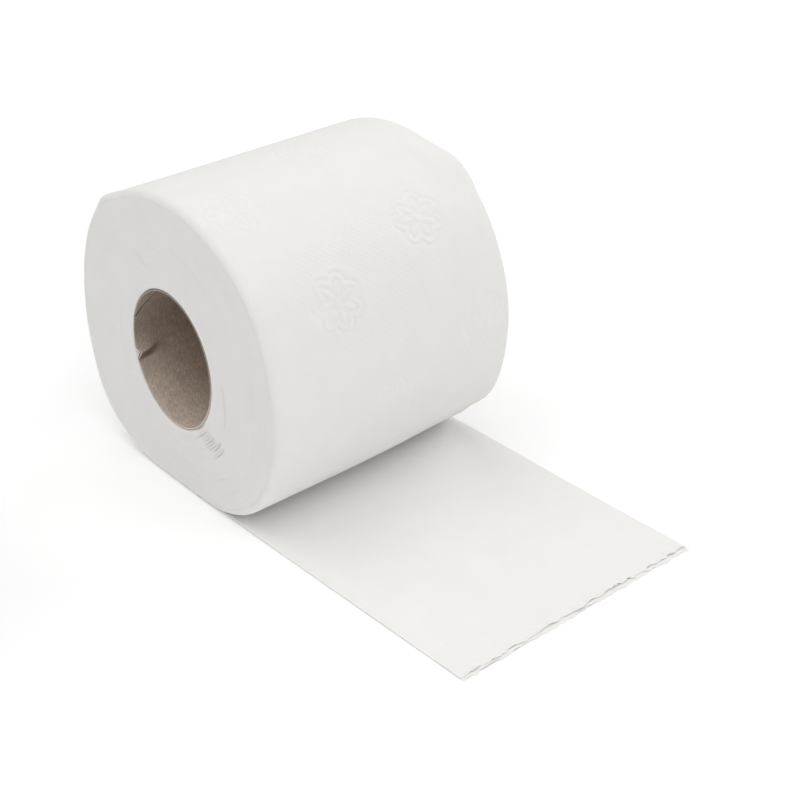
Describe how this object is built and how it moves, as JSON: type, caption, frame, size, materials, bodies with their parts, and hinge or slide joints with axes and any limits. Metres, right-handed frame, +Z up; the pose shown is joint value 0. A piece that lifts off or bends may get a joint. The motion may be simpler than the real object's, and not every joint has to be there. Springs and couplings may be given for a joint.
{
  "type": "toilet paper roll",
  "caption": "Soft roll of embossed tissue on a cardboard core, lying on its side with its last sheet rolled out flat along the floor.",
  "frame": {"origin": "the middle of the core's bore, on its axis", "axes": "+Y along the bore, away from the end that the picture shows; +Z up; +X the way that the loose sheet runs out"},
  "size_m": [0.1886, 0.1024, 0.105],
  "materials": {
    "tissue": "soft matt embossed tissue",
    "cardboard": "matt grey board"
  },
  "bodies": {
    "root": {"paper": "tissue", "core_tube": "cardboard"}
  },
  "joints": []
}
